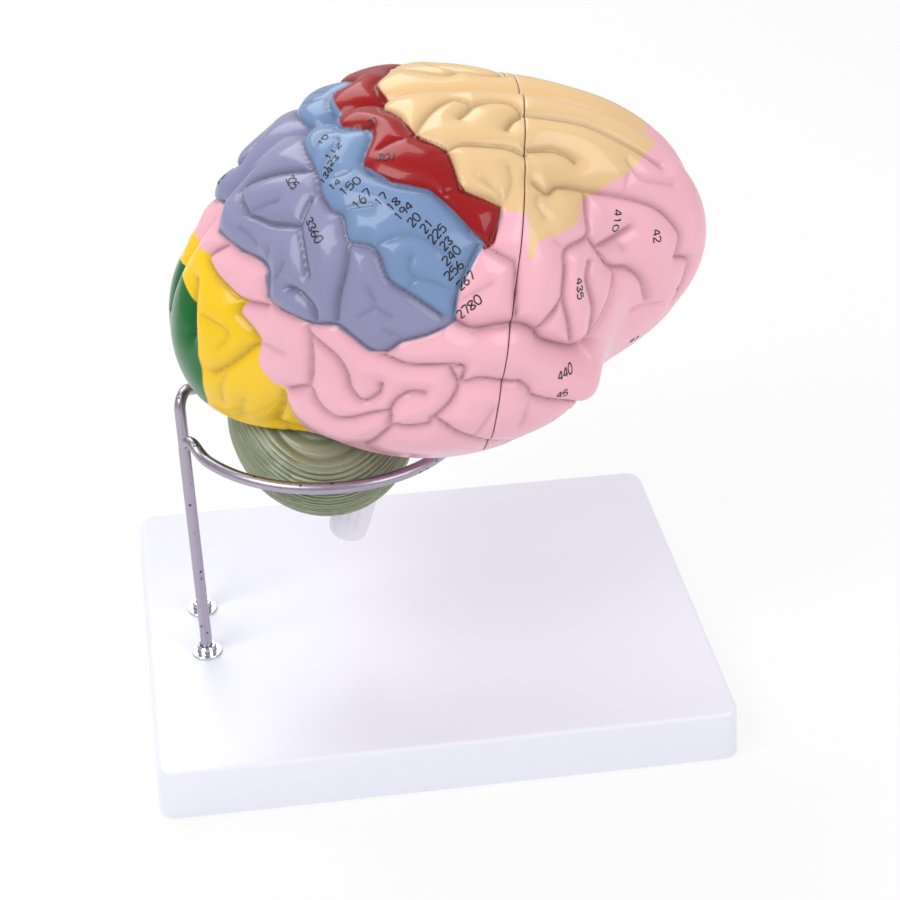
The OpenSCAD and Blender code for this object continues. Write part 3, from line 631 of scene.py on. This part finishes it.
def section(name, node, body, front, right_side):
    rows = SECTION_ROWS[front]
    form = bmesh.new()
    bmesh.ops.create_grid(form, x_segments=rows, y_segments=ACROSS, size=1.0)
    flat = np.array([vert.co[:2] for vert in form.verts])
    share = (flat[:, 0] + 1) / 2
    turn = 90 * share if front else 180 - 90 * share
    rise = 90 * flat[:, 1]
    at = folded_skin(turn, rise)
    for vert, spot in zip(form.verts, at):
        vert.co = Vector(spot)
    bmesh.ops.remove_doubles(form, verts=form.verts, dist=0.001)
    rim = [edge for edge in form.edges if edge.is_boundary]
    grown = bmesh.ops.extrude_edge_only(form, edges=rim)["geom"]
    hub = [g for g in grown if isinstance(g, bmesh.types.BMVert)]
    for face in (g for g in grown if isinstance(g, bmesh.types.BMFace)):
        face.material_index = 1
        face.smooth = False
    for vert in hub:
        vert.co = Vector(CUT_MID)
    bmesh.ops.remove_doubles(form, verts=hub, dist=0.001)
    bmesh.ops.translate(form, verts=form.verts,
                        vec=(PART_GAP if front else -PART_GAP, PART_GAP, 0))
    if right_side:
        bmesh.ops.scale(form, verts=form.verts, vec=(1, -1, 1))
    bmesh.ops.scale(form, verts=form.verts, vec=(MM, MM, MM))
    bmesh.ops.recalc_face_normals(form, faces=form.faces)
    made = piece(name, form, [vinyl, inner_paint])

    drill = bmesh.new()
    for start, end in socket_rods(front, right_side):
        start, end = Vector(start) * MM, Vector(end) * MM
        if right_side:
            start.y, end.y = -start.y, -end.y
        lie = (end - start).to_track_quat("Z", "Y").to_matrix().to_4x4()
        bmesh.ops.create_cone(drill, cap_ends=True, segments=40, radius1=2.6 * MM, radius2=2.6 * MM,
                              depth=(end - start).length,
                              matrix=Matrix.Translation((start + end) / 2) @ lie)
    for face in drill.faces:
        face.material_index = 1
    bit = piece("drill", drill, [vinyl, inner_paint], smooth=False)
    cut = made.modifiers.new("sockets", "BOOLEAN")
    cut.operation, cut.solver, cut.object = "DIFFERENCE", "EXACT", bit
    view = bpy.context.evaluated_depsgraph_get()
    drilled = bpy.data.meshes.new_from_object(made.evaluated_get(view))
    made.modifiers.clear()
    made.data = drilled
    bpy.data.objects.remove(bit)
    for face in drilled.polygons:
        face.use_smooth = face.material_index == 0

    count = len(drilled.vertices)
    spots = np.empty(count * 3)
    drilled.vertices.foreach_get("co", spots)
    spots = spots.reshape(-1, 3) / MM
    spots[:, 1] = np.abs(spots[:, 1]) - PART_GAP
    spots[:, 0] -= PART_GAP if front else -PART_GAP
    turn, rise = globe_place(spots)
    for area, corners in PAINTED.items():
        layer = drilled.attributes.new(area, "FLOAT", "POINT")
        layer.data.foreach_set("value", border_distance(turn, rise, corners))
    # Depth of the groove under each point, kept for the painted shade in the grooves.
    full = CUT_MID + reach(heading(turn, rise))[:, None] * heading(turn, rise)
    layer = drilled.attributes.new("groove", "FLOAT", "POINT")
    layer.data.foreach_set("value", np.clip(sink(full)[1] / 2.1, 0, 1))
    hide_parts(node)
    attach(made, body)
    return made


section("right_rear_casting", "right_rear_section", "right_rear", False, True)
section("right_front_casting", "right_front_section", "right_front", True, True)
section("left_rear_casting", "left_rear_section", "left_rear", False, False)
section("left_front_casting", "left_front_section", "left_front", True, False)


# Pen numbers: small plain numbers written on the painted areas with a fine black pen, so each
# is a thin line of ink that follows the skin.
pen_ink = Finish("pen_ink", Roughness=0.35)
pen_ink.feed("Base Color", pen_ink.tint(paint(30, 28, 34), pen_ink.noise(400.0, 2.0), 0.6, 1.3))
PEN_LINES = {
    "0": ((1, 6), (0, 4), (0, 2), (1, 0), (3, 0), (4, 2), (4, 4), (3, 6), (1, 6)),
    "1": ((1, 5), (2, 6), (2, 0)),
    "2": ((0, 5), (1, 6), (3, 6), (4, 5), (3, 3), (0, 0), (4, 0)),
    "3": ((0, 5), (2, 6), (4, 5), (2, 3), (4, 1), (2, 0), (0, 1)),
    "4": ((3, 0), (3, 6), (0, 2), (4, 2)),
    "5": ((4, 6), (1, 6), (0, 3), (3, 4), (4, 2), (3, 0), (0, 0)),
    "6": ((3, 6), (1, 4), (0, 2), (1, 0), (3, 0), (4, 2), (2, 3), (0, 2)),
    "7": ((0, 6), (4, 6), (2, 0)),
    "8": ((2, 3), (0, 5), (2, 6), (4, 5), (2, 3), (0, 1), (2, 0), (4, 1), (2, 3)),
    "9": ((4, 4), (2, 3), (0, 4), (1, 6), (3, 6), (4, 4), (3, 0)),
}
PEN_NUMBERS = {
    # number, turn and rise of its start, slope of its line, height
    "right_rear": (("10", 141, 69, 40, 2.6), ("112", 139, 61, 40, 2.6), ("123", 139, 56, 40, 2.5),
                   ("134", 140, 52, 40, 2.4), ("14", 137, 48, 38, 2.4), ("150", 134, 45, 38, 2.8),
                   ("167", 131, 40, 40, 2.8), ("17", 126, 40, 42, 2.5), ("18", 123, 38, 42, 2.5),
                   ("194", 121, 35, 42, 2.5), ("20", 118, 33, 42, 2.5), ("21", 115, 31, 42, 2.5),
                   ("225", 113, 28, 42, 2.6), ("23", 110, 26, 42, 2.5), ("240", 109, 22, 42, 2.6),
                   ("256", 108, 18, 42, 2.6), ("267", 105, 15, 38, 2.6), ("2780", 104, 7, 38, 2.8),
                   ("301", 128, 55, -18, 2.6), ("31", 131, 71, 10, 2.4),
                   ("325", 149, 61, -62, 2.6), ("3360", 143, 40, -66, 2.8)),
    "right_front": (("410", 51, 38, -84, 2.8), ("42", 34, 27, -76, 2.8), ("435", 70, 13, -88, 2.8),
                    ("440", 73, -19, -6, 2.6), ("45", 73, -25, -6, 2.6), ("46", 22, -29, -50, 2.2),
                    ("47", 38, -52, -30, 2.2)),
    "left_rear": (("31", 135, 74, 5, 2.6), ("52", 153, 72, 10, 2.4), ("53", 162, 66, 10, 2.4),
                  ("150", 134, 45, 38, 2.8), ("225", 113, 28, 42, 2.6), ("3360", 143, 40, -66, 2.8)),
    "left_front": (("410", 51, 38, -84, 2.8), ("435", 70, 13, -88, 2.8)),
}


def pen_numbers(body):
    right_side, front = body.startswith("right"), body.endswith("front")
    form = bmesh.new()
    for number, turn, rise, slope, height in PEN_NUMBERS[body]:
        here, on, over = (skin(np.array([turn + a]), np.array([rise + b]))[0]
                          for a, b in ((0, 0), (-1, 0), (0, 1)))
        ahead = (on - here) / np.linalg.norm(on - here)
        above = over - here - ahead * ((over - here) @ ahead)
        above /= np.linalg.norm(above)
        if not right_side:
            ahead = -ahead
        slant = math.radians(slope if right_side else -slope)
        line_way = ahead * math.cos(slant) + above * math.sin(slant)
        tall_way = above * math.cos(slant) - ahead * math.sin(slant)
        for count, digit in enumerate(number):
            drawn = smooth_line(PEN_LINES[digit], 4) * height / 6
            drawn[:, 0] += (count * 5.2 + 0.12 * drawn[:, 1]) * height / 6
            along = np.gradient(drawn, axis=0)
            along /= np.maximum(np.linalg.norm(along, axis=1), 1e-6)[:, None]
            beside = np.stack((-along[:, 1], along[:, 0]), -1) * 0.21
            grid = bmesh.ops.create_grid(form, x_segments=len(drawn) - 1, y_segments=1, size=1.0)
            where = np.array([vert.co[:2] for vert in grid["verts"]])
            place = (where[:, 0] + 1) / 2 * (len(drawn) - 1)
            flat = [np.interp(place, np.arange(len(drawn)), drawn[:, k])
                    + where[:, 1] * np.interp(place, np.arange(len(drawn)), beside[:, k])
                    for k in (0, 1)]
            spots = here + flat[0][:, None] * line_way + flat[1][:, None] * tall_way
            at = folded_skin(*globe_place(spots))
            out = at - CUT_MID
            at = at + out / np.linalg.norm(out, axis=1)[:, None] * 0.12
            for vert, spot in zip(grid["verts"], at):
                vert.co = Vector(spot)
    bmesh.ops.translate(form, verts=form.verts, vec=(PART_GAP if front else -PART_GAP, PART_GAP, 0))
    if right_side:
        bmesh.ops.scale(form, verts=form.verts, vec=(1, -1, 1))
    bmesh.ops.scale(form, verts=form.verts, vec=(MM, MM, MM))
    made = piece(f"{body}_pen_numbers", form, [pen_ink])
    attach(made, body)


for body in PEN_NUMBERS:
    pen_numbers(body)


# Cerebellum halves: olive-painted castings, closely lined with the fine leaves of the real
# organ, which run from the front round the side to the back and draw together at their ends.
CEREBELLUM_X, HALF_LONG, HALF_WIDE, DOWN, UP = -33.0, 32.5, 46.7, 30.0, 58.0
STEM_LEAN, STEM_FOOT = math.radians(14), np.array((-26.0, 0.0, 55.0))
NOTCH_SLOPE, SEAT_GAP, RIM_RUN, RIM_ROUND = 1.3, 0.3, 0.3, 6.0

olive = Finish("olive_paint", Roughness=0.3, Coat_Weight=0.3, Coat_Roughness=0.15)
# Painted shade and highlight: the olive darkens to 0.62 in the furrows between the leaves and lightens to 1.12
# on their crests.
leaf_shade_and_highlight = olive.node("ShaderNodeAttribute", {"attribute_name": "leaf"}, {}, "Fac")
dapple = olive.noise(45.0, 4.0)
olive_colour = olive.mix(dapple, paint(122, 130, 98), paint(154, 161, 134))
olive.feed("Base Color", olive.tint(olive_colour, leaf_shade_and_highlight, 0.62, 1.12))
olive.feed("Roughness", olive.noise(120.0, 3.0) * 0.16 + 0.2)
olive.feed("Normal", olive.bump(olive.noise(240.0, 3.0), 0.12, 0.0003))


def roof_height(x, y):
    return (CUT_MID[2] - ROOF_DROP + ROOF_BACK * np.minimum(0, x - HIP_X) - ROOF_FALL * y)


def bulb(height, around, inset):
    over = np.where(height > LOOP_Z, UP, DOWN)
    swell = np.sqrt(np.maximum(0, 1 - ((height - LOOP_Z) / over) ** 2))
    inset = inset * np.minimum(1, 2 * swell)
    side = (HALF_WIDE * swell - inset) * np.sin(around)
    stem_r = np.interp(height - STEM_FOOT[2], (0, 38, 50, 71, 80), (7, 8, 13.5, 13.5, 9))
    notch = (STEM_FOOT[0] + (height - STEM_FOOT[2]) * math.tan(STEM_LEAN)
             - (stem_r + SEAT_GAP) * math.sqrt(1 / math.cos(STEM_LEAN) ** 2 + NOTCH_SLOPE ** 2))
    along = CEREBELLUM_X + (HALF_LONG * swell - inset) * np.cos(around)
    return np.stack((np.minimum(along, notch + NOTCH_SLOPE * side), side, height), -1)


def cerebellum(name, node, right_side):
    form = bmesh.new()
    bmesh.ops.create_grid(form, x_segments=270, y_segments=90, size=1.0)
    flat = np.array([vert.co[:2] for vert in form.verts])
    full, around = 1.3 * (flat[:, 0] + 1) / 2, math.pi * (flat[:, 1] + 1) / 2
    share = np.minimum(full, 1.0)
    top = np.full(len(flat), LOOP_Z + 20)
    for _ in range(14):
        edge = bulb(top, around, 0.0)
        top = roof_height(edge[:, 0], edge[:, 1]) - SEAT_GAP
    low = LOOP_Z - DOWN
    climb = 0.35 * share + 0.65 * (1 - np.cos(math.pi / 2 * share))
    height = low + (top - low) * climb
    bend = 0.7 * np.sin(around * 1.0) + 0.25 * np.sin(5.1 * around + 9 * share)
    phase = 23 * (climb + full - share) + bend * (1 - share) * share * 3
    ridge = np.abs(np.sin(math.pi * phase)) ** 0.7
    fine = np.abs(np.sin(math.pi * (2.4 * phase + 0.4 * np.sin(3 * around))))
    crest = 0.78 * ridge + 0.22 * fine
    fade = np.clip((1.3 - full) * 12, 0, 1) * np.clip(full * 12, 0, 1)
    drawn = RIM_ROUND * (1 - np.sqrt(1 - np.clip((climb - 1 + RIM_RUN) / RIM_RUN, 0, 1) ** 2))
    at = bulb(height, around, 1.15 * (1 - crest) * fade + drawn)
    ends = bulb(top, around, RIM_ROUND)
    front_x, back_x = ends[np.argmin(around), 0], ends[np.argmax(around), 0]
    ridge_x = front_x + (back_x - front_x) * around / math.pi
    ridge_at = np.stack((ridge_x, 0 * ridge_x, roof_height(ridge_x, 0.0) - SEAT_GAP), -1)
    over = np.clip((full - 1) / 0.3, 0, 1)[:, None]
    at = at * (1 - over) + ridge_at * over
    at[:, 2] -= 1.1 * (1 - crest) * fade * over[:, 0]
    for vert, spot in zip(form.verts, at):
        vert.co = Vector(spot)
    # Crest height of the leaves, kept for the painted shade and highlight of the olive paint.
    lay = form.verts.layers.float.new("leaf")
    for vert, value in zip(form.verts, crest):
        vert[lay] = value
    bmesh.ops.remove_doubles(form, verts=form.verts, dist=0.001)
    grown = bmesh.ops.extrude_edge_only(form, edges=[e for e in form.edges if e.is_boundary])["geom"]
    hub = [g for g in grown if isinstance(g, bmesh.types.BMVert)]
    for face in (g for g in grown if isinstance(g, bmesh.types.BMFace)):
        face.material_index = 1
    for vert in hub:
        vert.co = Vector((CEREBELLUM_X, 0.0, float(roof_height(CEREBELLUM_X, 0.0)) - SEAT_GAP))
        vert[lay] = 1.0
    bmesh.ops.remove_doubles(form, verts=hub, dist=0.001)
    bmesh.ops.translate(form, verts=form.verts, vec=(0, PART_GAP, 0))
    if right_side:
        bmesh.ops.scale(form, verts=form.verts, vec=(1, -1, 1))
    bmesh.ops.scale(form, verts=form.verts, vec=(MM, MM, MM))
    bmesh.ops.recalc_face_normals(form, faces=form.faces)
    made = piece(name, form, [olive, inner_paint])
    made.data.set_sharp_from_angle(angle=math.radians(75))
    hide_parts(node)
    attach(made, "stand")


cerebellum("right_cerebellum_casting", "right_cerebellum", True)
cerebellum("left_cerebellum_casting", "left_cerebellum", False)


# Brainstem halves: white-painted castings with soft lengthwise strands, a bulge in front and a
# narrow lower end.
STEM = ((5.5, 0.0), (7.0, 4.0), (7.6, 25.0), (8.5, 46.0), (12.5, 54.0), (13.5, 61.0),
        (12.0, 69.0), (9.0, 75.0), (9.0, 80.0))
stem_white = Finish("stem_white", Roughness=0.28, Coat_Weight=0.3, Coat_Roughness=0.12)
stem_mottle = stem_white.noise(60.0, 3.0)
stem_white.feed("Base Color", stem_white.mix(stem_mottle, paint(226, 222, 240), paint(244, 243, 250)))
stem_white.feed("Normal", stem_white.bump(stem_white.noise(160.0, 3.0), 0.15, 0.0004))
for side, name, node in ((-1, "right_stem_casting", "right_brainstem"),
                         (1, "left_stem_casting", "left_brainstem")):
    stem_form = bmesh.new()
    outline = smooth_line(STEM, 4)
    line = [stem_form.verts.new((r, 0, h)) for r, h in outline]
    ends = [stem_form.verts.new((0, 0, STEM[0][1])), stem_form.verts.new((0, 0, STEM[-1][1]))]
    line = [ends[0], *line, ends[1]]
    edges = [stem_form.edges.new(pair) for pair in zip(line, line[1:])]
    bmesh.ops.spin(stem_form, geom=line + edges, cent=(0, 0, 0), axis=(0, 0, 1),
                   angle=side * math.pi, steps=72)
    bmesh.ops.remove_doubles(stem_form, verts=stem_form.verts, dist=0.001)
    for vert in stem_form.verts:
        turned = math.atan2(vert.co.y, vert.co.x)
        strand = 1 - 0.035 * (1 - abs(math.cos(7 * turned))) * min(1.0, abs(vert.co.y))
        vert.co.x, vert.co.y = vert.co.x * strand, vert.co.y * strand
    bmesh.ops.holes_fill(stem_form, edges=[e for e in stem_form.edges if e.is_boundary], sides=0)
    bmesh.ops.rotate(stem_form, verts=stem_form.verts, cent=(0, 0, 0),
                     matrix=Matrix.Rotation(STEM_LEAN, 3, "Y"))
    bmesh.ops.translate(stem_form, verts=stem_form.verts,
                        vec=(STEM_FOOT[0], side * PART_GAP, STEM_FOOT[2]))
    bmesh.ops.scale(stem_form, verts=stem_form.verts, vec=(MM, MM, MM))
    bmesh.ops.recalc_face_normals(stem_form, faces=stem_form.faces)
    stem = piece(name, stem_form, [stem_white])
    stem.data.set_sharp_from_angle(angle=math.radians(50))
    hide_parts(node)
    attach(stem, "stand")


# Pegs: short steel dowels pressed into one of the two pieces that they join.
dowel_steel = Finish("ground_steel", Metallic=1.0, Roughness=0.25)
grind = dowel_steel.noise(700.0, 2.0)
dowel_steel.feed("Base Color", dowel_steel.tint(paint(196, 196, 202), grind, 0.9, 1.05))
dowel_steel.feed("Roughness", grind * 0.2 + 0.15)
for node in ("right_cut_pegs", "left_cut_pegs", "midline_pegs", "core_peg"):
    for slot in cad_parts[node].material_slots:
        slot.material = dowel_steel.material
